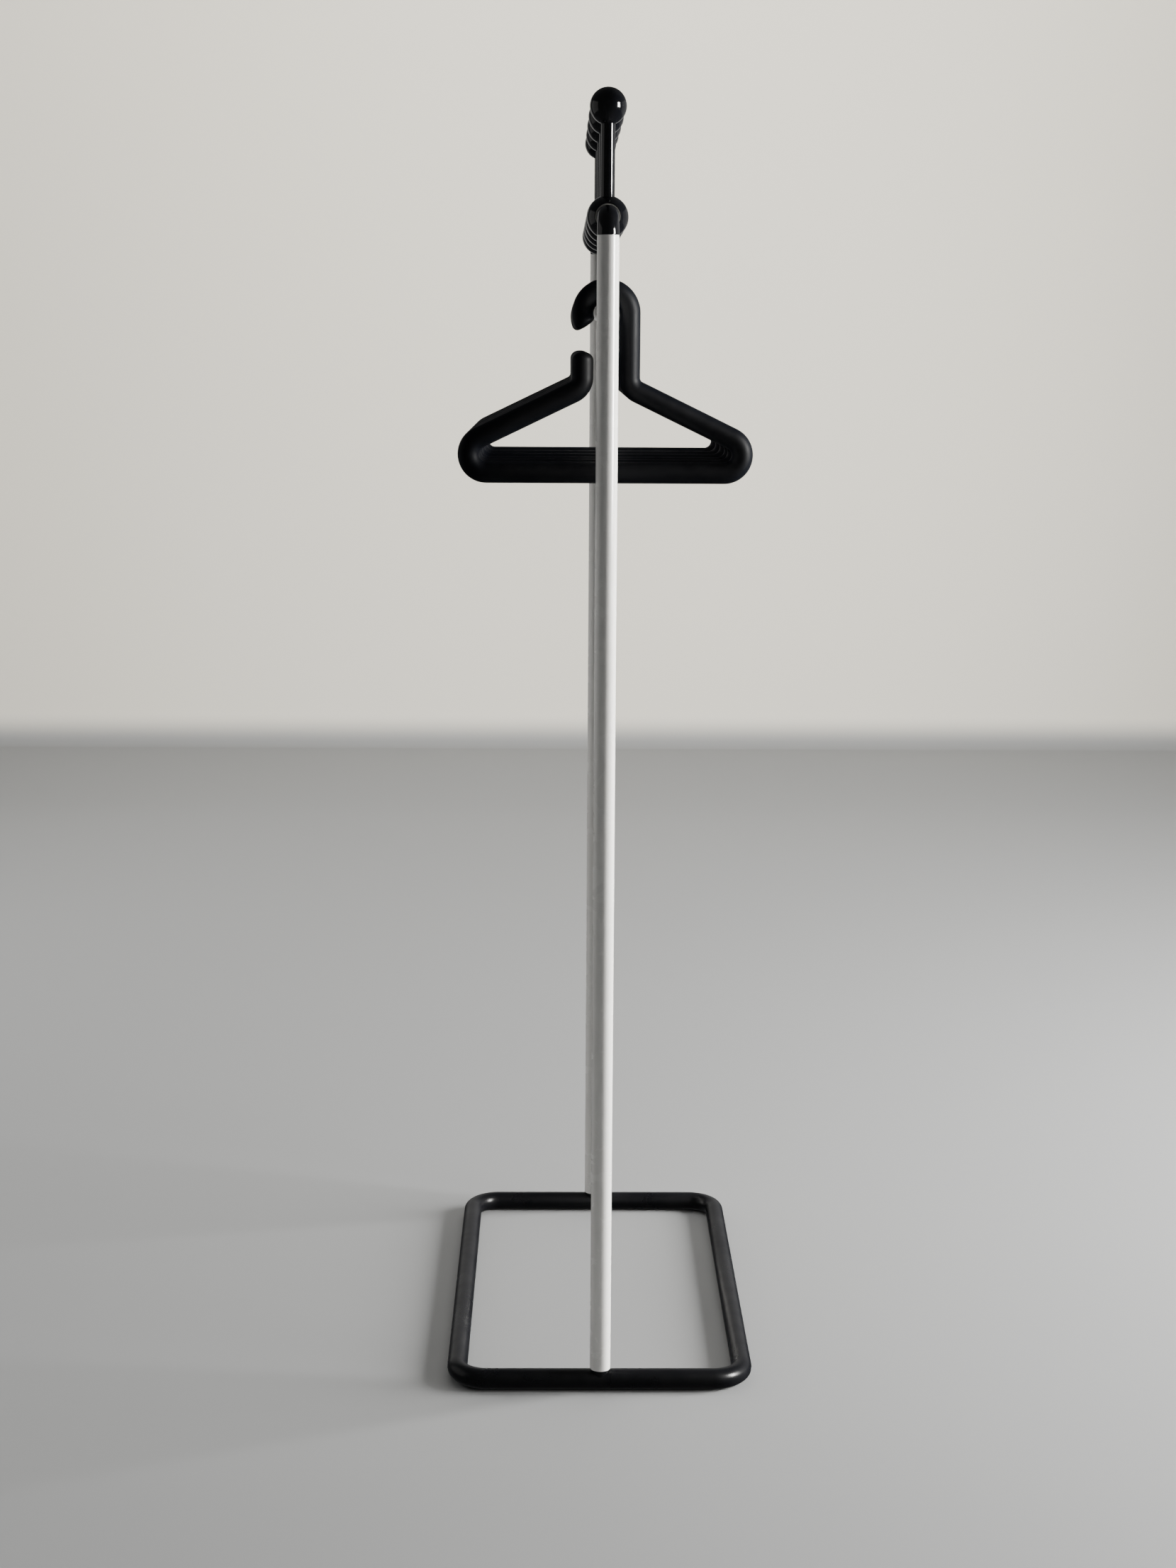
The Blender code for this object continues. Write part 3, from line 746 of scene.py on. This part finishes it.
class STAND_OT_rail(bpy.types.Operator):
    """Build the top rail and the two elbows that carry it"""
    bl_idname = "stand.rail"
    bl_label = "Top rail and elbows"

    def execute(self, context):
        tube = context.scene.stand_tube
        gloss = finish_named("gloss_black_finish")
        inner = tube.post_r - tube.post_wall
        radii, reach = wall_profile(inner, tube.post_r, RAIL_LOW[1], RAIL_HIGH[1], tube.ease)
        grid = laid_along_y(turned(radii, reach, tube.sides)) + np.array((0, 0, RAIL_Z))
        settle(mesh_object("top_rail_skin", grid, closed_rows=True), "stand", gloss)
        for label, way in (("near", 1), ("far", -1)):
            self.elbow(label, way, tube, gloss)
        return {"FINISHED"}

    def elbow(self, label, way, tube, gloss):
        """Quarter bend with a plug at each end: one radius along the bend, a smaller one on the plugs, and
        quarter circles where the shoulders are eased."""
        post_top = POST_HIGH[2]
        bend_r = RAIL_Z - post_top - GAP
        inward = way * Y_WAY
        foot = np.array((0, -way * POST_Y, post_top + GAP))
        corner = foot + bend_r * Z_WAY
        line, ways = bend_line([foot - Z_WAY, corner, corner + (bend_r + 1) * inward], [0, bend_r, 0])
        line, ways = line[1:-1], ways[1:-1]
        plug_r = tube.post_r - tube.post_wall - GAP
        shoulder = np.linspace(0, math.pi / 2, 5)
        ease = tube.ease * (1 - np.cos(shoulder))
        eased_r = tube.post_r - tube.ease + tube.ease * np.sin(shoulder)
        lead = 0.001
        plug_reach = np.array((tube.plug, tube.plug - lead, 0))
        plug_radii = np.array((plug_r - lead, plug_r, plug_r))
        start = np.concatenate((foot - plug_reach[:, None] * Z_WAY, foot + ease[:, None] * Z_WAY))
        end_point = line[-1]
        end = np.concatenate((end_point - ease[::-1, None] * inward,
                              end_point + plug_reach[::-1, None] * inward))
        middle = slice(2, -2)
        points = np.concatenate((start, line[middle], end))
        directions = np.concatenate((np.tile(Z_WAY, (len(start), 1)), ways[middle],
                                     np.tile(inward, (len(end), 1))))
        radii = np.concatenate((plug_radii, eased_r, tube.post_r * np.ones(len(line[middle])),
                                eased_r[::-1], plug_radii[::-1]))
        grid = carried(points, directions, radii, X_WAY, tube.sides)
        elbow = mesh_object("elbow_%s_skin" % label, grid, poles=(points[0], points[-1]))
        settle(elbow, "stand", gloss)


class STAND_OT_bar(bpy.types.Operator):
    """Build the hanger bar and the two end plugs that seat on the posts"""
    bl_idname = "stand.bar"
    bl_label = "Hanger bar"

    def execute(self, context):
        tube = context.scene.stand_tube
        white = finish_named("white_lacquer_finish")
        bore_r = tube.bar_r - tube.bar_wall
        radii, reach = wall_profile(bore_r, tube.bar_r, BAR_LOW[1], BAR_HIGH[1], tube.ease)
        grid = laid_along_y(turned(radii, reach, tube.sides)) + np.array((0, 0, BAR_Z))
        settle(mesh_object("hanger_bar_skin", grid, closed_rows=True), "stand", white)
        for label, way in (("near", 1), ("far", -1)):
            self.end_plug(label, way, bore_r - GAP, tube, white)
        return {"FINISHED"}

    def end_plug(self, label, way, plug_r, tube, white):
        """Turned plug whose face follows the post: on the face, the reach from the post's axis is the root of
        the post's radius squared less the distance to the side squared."""
        post_y = -way * POST_Y
        shoulder = abs(post_y) - BAR_HIGH[1] - GAP
        low, high = box_of("bar_end_" + label)
        inner_end = (high[1] - post_y) if way > 0 else (post_y - low[1])
        lead = 0.0008
        face = np.linspace(tube.bar_r / 8, tube.bar_r, 8)
        radii = np.concatenate((face, (tube.bar_r, plug_r, plug_r, plug_r - lead)))
        reach = np.concatenate((0 * face, (shoulder, shoulder, inner_end - lead, inner_end)))
        grid = turned(radii, reach, tube.sides)
        seat_r = tube.post_r + GAP
        grid[:len(face), :, 2] = np.sqrt(seat_r ** 2 - grid[:len(face), :, 0] ** 2)
        centre = np.array((0, post_y, BAR_Z))
        grid = laid_along_y(grid, way) + centre
        poles = (centre + way * seat_r * Y_WAY, centre + way * inner_end * Y_WAY)
        settle(mesh_object("bar_end_%s_skin" % label, grid, poles=poles), "stand", white)


class STAND_OT_pegs(bpy.types.Operator):
    """Build the five pegs: hub with sleeve, rod and ball"""
    bl_idname = "stand.pegs"
    bl_label = "Pegs"

    def execute(self, context):
        tube = context.scene.stand_tube
        peg = context.scene.stand_peg
        hub = self.hub_mesh(tube, peg)
        for number in PEG_NUMBERS:
            place = joint_place("peg_%d_turn" % number)
            self.hub(number, place, hub)
            self.sleeve(number, place, tube, peg)
            self.rod_and_ball(number, place, tube, peg)
        bpy.data.meshes.remove(hub)
        return {"FINISHED"}

    def hub_mesh(self, tube, peg):
        """Ball turned about Y with an eased bore along the rail and a blind socket on top for the rod.

        The profile runs over the ball by polar angle, then back through the bore; each rim is a quarter
        circle.
        """
        bore_r = tube.post_r + GAP + peg.sleeve_wall + GAP
        rim_r = bore_r + peg.ease
        rim_angle = math.asin(rim_r / peg.hub_r)
        polar = np.linspace(rim_angle, math.pi - rim_angle, HUB_STEPS)
        side = peg.hub_r * math.cos(rim_angle)
        high = corner_arc(rim_r, side - peg.ease, peg.ease, math.pi / 2)
        low = corner_arc(rim_r, -side + peg.ease, peg.ease, math.pi)
        radii = np.concatenate((high[0][::-1], peg.hub_r * np.sin(polar), low[0][::-1]))
        heights = np.concatenate((high[1][::-1], peg.hub_r * np.cos(polar), low[1][::-1]))
        ball = mesh_object("hub_blank", laid_along_y(turned(radii, heights, BALL_SIDES)), closed_rows=True)
        socket_r = peg.rod_r + GAP
        floor, top = peg.hub_r - peg.hub_socket, 2 * peg.hub_r
        mouth_r = socket_r + peg.ease
        crown = math.sqrt(peg.hub_r ** 2 - mouth_r ** 2)
        flare = np.linspace(0, math.pi / 2, 5)
        radii = np.concatenate(((socket_r,), mouth_r - peg.ease * np.cos(flare), (mouth_r,)))
        heights = np.concatenate(((floor,), crown - peg.ease + peg.ease * np.sin(flare), (top,)))
        socket = mesh_object("hub_socket", turned(radii, heights, 96), poles=((0, 0, floor), (0, 0, top)))
        cut(ball, [socket])
        mesh = ball.data
        bpy.data.objects.remove(ball, do_unlink=True)
        return mesh

    def hub(self, number, place, mesh):
        """Copy of the hub's mesh, with its place in the mesh."""
        own = mesh.copy()
        points = np.empty(len(own.vertices) * 3)
        own.vertices.foreach_get("co", points)
        own.vertices.foreach_set("co", (points.reshape(-1, 3) + place).ravel())
        own.update()
        hub = bpy.data.objects.new("peg_hub_%d_skin" % number, own)
        bpy.context.scene.collection.objects.link(hub)
        settle(hub, "peg_%d" % number, finish_named("gloss_black_finish"), math.radians(35))

    def sleeve(self, number, place, tube, peg):
        """Plain tube between the rail and the hub's bore."""
        low, high = box_of("peg_liner_%d" % number)
        inner = tube.post_r + GAP
        radii, reach = wall_profile(inner, inner + peg.sleeve_wall, low[1] - place[1], high[1] - place[1],
                                    tube.ease)
        grid = laid_along_y(turned(radii, reach, tube.sides)) + place
        sleeve = mesh_object("peg_liner_%d_skin" % number, grid, closed_rows=True)
        settle(sleeve, "peg_%d" % number, finish_named("sleeve_nylon_finish"))

    def rod_and_ball(self, number, place, tube, peg):
        """Rod with eased ends, and a ball whose profile starts in the socket and goes round its mouth and
        over the top."""
        gloss = finish_named("gloss_black_finish")
        ball_centre = place + (box_of("peg_ball_%d" % number)[1][2] - peg.ball_r - place[2]) * Z_WAY
        socket_top = ball_centre[2] - peg.ball_r + peg.ball_socket
        low, high = place[2] + peg.hub_r - peg.hub_socket + GAP, socket_top - GAP
        ends = (corner_arc(peg.rod_r - tube.ease, low + tube.ease, tube.ease, -math.pi / 2),
                corner_arc(peg.rod_r - tube.ease, high - tube.ease, tube.ease, 0))
        radii, heights = (np.concatenate([end[k] for end in ends]) for k in range(2))
        shift = np.array((place[0], place[1], 0))
        rod = mesh_object("peg_rod_%d_skin" % number, turned(radii, heights, tube.sides) + shift,
                          poles=(shift + low * Z_WAY, shift + high * Z_WAY))
        settle(rod, "peg_%d" % number, gloss)

        socket_r = peg.rod_r + GAP
        mouth_r = socket_r + peg.ease
        mouth_angle = math.asin(mouth_r / peg.ball_r)
        polar = np.linspace(math.pi - mouth_angle, 0, BALL_STEPS)[:-1]
        mouth_low = -peg.ball_r * math.cos(mouth_angle)
        mouth = corner_arc(mouth_r, mouth_low + peg.ease, peg.ease, math.pi)
        radii = np.concatenate(((socket_r,), mouth[0], peg.ball_r * np.sin(polar)))
        heights = np.concatenate(((socket_top - ball_centre[2],), mouth[1], peg.ball_r * np.cos(polar)))
        ball = mesh_object("peg_ball_%d_skin" % number, turned(radii, heights, BALL_SIDES) + ball_centre,
                           poles=(ball_centre + (socket_top - ball_centre[2]) * Z_WAY,
                                  ball_centre + peg.ball_r * Z_WAY))
        settle(ball, "peg_%d" % number, gloss, math.radians(35))


class STAND_OT_hangers(bpy.types.Operator):
    """Build the bent hangers on the bar"""
    bl_idname = "stand.hangers"
    bl_label = "Hangers"

    def execute(self, context):
        hanger = context.scene.stand_hanger
        tube = context.scene.stand_tube
        grid, poles = self.blank(hanger, tube)
        satin = finish_named("satin_black_finish")
        hook_rise = tube.bar_r + GAP + hanger.radius - hanger.hook_r
        for number in HANGER_NUMBERS:
            place = joint_place("hanger_%d_swing" % number) + hook_rise * Z_WAY
            made = mesh_object("hanger_%d_skin" % number, grid + place,
                               poles=[pole + place for pole in poles])
            settle(made, "hanging_%d" % number, satin)
        return {"FINISHED"}

    def blank(self, hanger, tube):
        """One hanger about its hook's centre, as a circle carried along the bent line with rounded ends.

        The line is an arc over the bar, a straight neck, and straight runs through the shoulder and end
        corners.  The arms' slope is found so that an arm from the shoulder corner just touches the end bend.
        """
        end_x = hanger.width / 2 - hanger.radius - hanger.end_bend
        run_x = end_x - hanger.hook_r
        run_z = hanger.neck - hanger.drop + hanger.end_bend
        slope = -math.atan2(run_z, run_x) - math.asin(hanger.end_bend / math.hypot(run_x, run_z))
        corner_x = hanger.hook_r + (hanger.drop - hanger.neck) / math.tan(slope)
        turn = math.pi + hanger.hook_past
        hook_power, stub_power = 2.5, 2.15
        hook_radii, hook_reach = dome(hanger.radius, hanger.hook_tip, hook_power)
        stub_radii, stub_reach = dome(hanger.radius, hanger.stub_tip, stub_power)
        tip_turn = turn - (hanger.hook_tip - hook_reach[::-1]) / hanger.hook_r
        bend_turn = np.linspace(turn - hanger.hook_tip / hanger.hook_r, 0, HOOK_STEPS)[:-1]
        angle = np.concatenate((tip_turn, bend_turn))[:, None]
        arc = hanger.hook_r * (np.cos(angle) * X_WAY + np.sin(angle) * Z_WAY)
        arc_ways = np.sin(angle) * X_WAY - np.cos(angle) * Z_WAY
        corners = [np.array((x, 0.0, z)) for x, z in
                   ((hanger.hook_r, 0), (hanger.hook_r, -hanger.neck), (corner_x, -hanger.drop),
                    (-corner_x, -hanger.drop), (-hanger.hook_r, -hanger.neck),
                    (-hanger.hook_r, hanger.stub - hanger.neck - hanger.stub_tip))]
        bends = [0, hanger.neck_bend, hanger.end_bend, hanger.end_bend, hanger.neck_bend, 0]
        run, run_ways = bend_line(corners, bends)
        tail = run[-1] + stub_reach[:, None] * Z_WAY
        points = np.concatenate((arc, run, tail))
        directions = np.concatenate((arc_ways, run_ways, np.tile(Z_WAY, (len(tail), 1))))
        body = len(points) - len(hook_radii) - len(stub_radii)
        radii = np.concatenate((hook_radii[::-1], hanger.radius * np.ones(body), stub_radii))
        poles = (hanger.hook_r * (math.cos(turn) * X_WAY + math.sin(turn) * Z_WAY),
                 run[-1] + hanger.stub_tip * Z_WAY)
        return carried(points, directions, radii, Y_WAY, tube.sides), poles


class STAND_OT_stage(bpy.types.Operator):
    """Make the floor with its backdrop, the soft lights and the camera"""
    bl_idname = "stand.stage"
    bl_label = "Stage"

    def execute(self, context):
        stage = context.scene.stand_stage
        self.room(stage)
        day, shade = (1.0, 0.985, 0.955), (0.85, 0.87, 0.90, 1)
        left_share, shade_strength = 0.06, 0.07
        for name, place, target, size, power in (
                ("side_light", (3.7, 0.15, 1.35), (0, -0.1, 1.0), (1.8, 2.6), stage.window),
                ("left_light", (-3.5, 1.9, 1.5), (0, 0, 1.0), (1.6, 2.2), left_share * stage.window),
                ("ceiling_light", (0.0, 0.0, 4.6), (0, 0, 0), (4.0, 4.0), stage.ceiling),
                ("wall_light", (0.4, 2.4, 4.6), (0.4, 5.2, 1.0), (6.0, 1.0), stage.wash)):
            self.light(name, place, target, size, power, day).visible_glossy = False
        for name, place, target, size, glow in (
                ("window_gleam", (3.5, -1.75, 2.15), (0, -0.3, 1.65), (0.9, 1.5), stage.window_glow),
                ("left_gleam", (-3.6, 0.1, 1.6), (0, -0.3, 1.4), (3.7, 3.0), stage.room_glow),
                ("right_gleam", (3.6, 1.5, 1.6), (0, -0.3, 1.4), (3.4, 3.0), stage.room_glow),
                ("back_gleam", (0, 3.9, 1.6), (0, 0, 1.4), (7.0, 3.0), stage.room_glow)):
            power = glow * math.pi * size[0] * size[1]      # its radiance times pi times its area
            self.light(name, place, target, size, power, day).visible_diffuse = False
        world = context.scene.world or bpy.data.worlds.new("stand_world")
        context.scene.world = world
        world.use_nodes = True
        background = world.node_tree.nodes["Background"]
        background.inputs["Color"].default_value = shade
        background.inputs["Strength"].default_value = shade_strength
        self.camera(context.scene, stage)
        return {"FINISHED"}

    def room(self, stage):
        """Floor, and a wall round it that rises from a cove: a profile turned about Z, then squared off by
        dividing by the fourteenth root of the sum of the fourteenth powers of x and y over the radius.

        Neither mirrors in the polished pieces, whose gleams come from lights of their own.  The wall behind
        the stand is one sheet and the rest of the ring another, which throws no light back on the stand.
        """
        cove, top, columns, back, power = 0.12, 5.0, 144, 15, 14
        angle = np.linspace(0, math.pi / 2, 9)
        radii = np.concatenate((stage.room_r - cove + cove * np.sin(angle), (stage.room_r,)))
        heights = np.concatenate((cove - cove * np.cos(angle), (top,)))
        ring = turned(radii, heights, columns)
        shares = np.abs(ring[..., :2]) / radii[:, None, None]
        ring[..., :2] /= (shares ** power).sum(axis=-1, keepdims=True) ** (1 / power)
        paint = stage_paint(stage)
        floor = mesh_object("stage_floor", np.stack((0.2 * ring[0], ring[0])), poles=((0, 0, 0), None))
        behind = np.arange(columns // 4 - back, columns // 4 + back + 1)
        around = np.arange(columns // 4 + back, columns // 4 - back + columns + 1) % columns
        wall = self.sheet("stage_wall", ring[:, behind])
        rest = self.sheet("stage_wall_front", ring[:, around])
        for made in (floor, wall, rest):
            made.data.shade_smooth()
            made.data.materials.append(paint)
            made.visible_glossy = False
        rest.visible_diffuse = False

    def sheet(self, name, grid):
        """Open sheet of quads on a grid."""
        quads = faces_of(*grid.shape[:2], closed_columns=False)
        mesh = bpy.data.meshes.new(name)
        mesh.from_pydata(grid.reshape(-1, 3).tolist(), [], quads[:, ::-1].tolist())
        made = bpy.data.objects.new(name, mesh)
        bpy.context.scene.collection.objects.link(made)
        return made

    def light(self, name, place, target, size, power, colour):
        """Soft rectangular light at a place, facing a target and unseen by the camera."""
        lamp = bpy.data.lights.new(name, "AREA")
        lamp.shape = "RECTANGLE"
        lamp.size, lamp.size_y = size
        lamp.energy = power
        lamp.color = colour
        made = bpy.data.objects.new(name, lamp)
        place, target = np.array(place, float), np.array(target, float)
        back = (place - target) / np.linalg.norm(place - target)
        side = np.cross(Z_WAY if abs(back[2]) < 0.95 else Y_WAY, back)
        side /= np.linalg.norm(side)
        made.matrix_world = view_matrix(place, side, np.cross(back, side), back)
        made.visible_camera = False
        bpy.context.scene.collection.objects.link(made)
        return made

    def camera(self, scene, stage):
        """Camera in front of the near post, from its yaw, pitch and roll."""
        forward = np.array((math.sin(stage.yaw) * math.cos(stage.pitch),
                            math.cos(stage.yaw) * math.cos(stage.pitch), -math.sin(stage.pitch)))
        right = np.array((math.cos(stage.yaw), -math.sin(stage.yaw), 0))
        up = np.cross(right, forward)
        tilted_right = right * math.cos(stage.roll) + up * math.sin(stage.roll)
        tilted_up = up * math.cos(stage.roll) - right * math.sin(stage.roll)
        lens = bpy.data.cameras.new("stand_camera")
        lens.sensor_width = 36
        lens.lens = stage.lens
        made = bpy.data.objects.new("stand_camera", lens)
        place = np.array((stage.offset, -POST_Y - stage.distance, stage.height))
        made.matrix_world = view_matrix(place, tilted_right, tilted_up, -forward)
        scene.collection.objects.link(made)
        scene.camera = made


def view_matrix(place, side, up, back):
    """Placing matrix whose columns are the side, up and back directions and the place."""
    rows = np.eye(4)
    rows[:3, :4] = np.column_stack((side, up, back, place))
    return Matrix(rows.tolist())


# ---------------------------------------------------------------- panel and registration
STEPS = (STAND_OT_finishes, STAND_OT_base, STAND_OT_posts, STAND_OT_rail, STAND_OT_bar, STAND_OT_pegs,
         STAND_OT_hangers, STAND_OT_stage)
GROUPS = {"stand_finish": StandFinish, "stand_tube": StandTube, "stand_peg": StandPeg,
          "stand_hanger": StandHanger, "stand_stage": StandStage}


class STAND_PT_panel(bpy.types.Panel):
    """Sizes, colours and steps of the stand"""
    bl_idname = "STAND_PT_panel"
    bl_label = "Valet Stand"
    bl_space_type = "VIEW_3D"
    bl_region_type = "UI"
    bl_category = "Stand"

    def draw(self, context):
        column = self.layout.column(align=True)
        for step in STEPS:
            column.operator(step.bl_idname)
        for key, group in GROUPS.items():
            section = self.layout.box().column(align=True)
            section.label(text=group.__doc__)
            for name in group.__annotations__:
                section.prop(getattr(context.scene, key), name)


CLASSES = (*GROUPS.values(), *STEPS, STAND_PT_panel)


def register():
    for made in CLASSES:
        bpy.utils.register_class(made)
    for key, group in GROUPS.items():
        setattr(bpy.types.Scene, key, bpy.props.PointerProperty(type=group))


def unregister():
    for key in GROUPS:
        delattr(bpy.types.Scene, key)
    for made in reversed(CLASSES):
        bpy.utils.unregister_class(made)


def main():
    """Build every piece in order."""
    register()
    for step in STEPS:
        group, name = step.bl_idname.split(".")
        getattr(getattr(bpy.ops, group), name)()


if __name__ == "__main__":
    main()
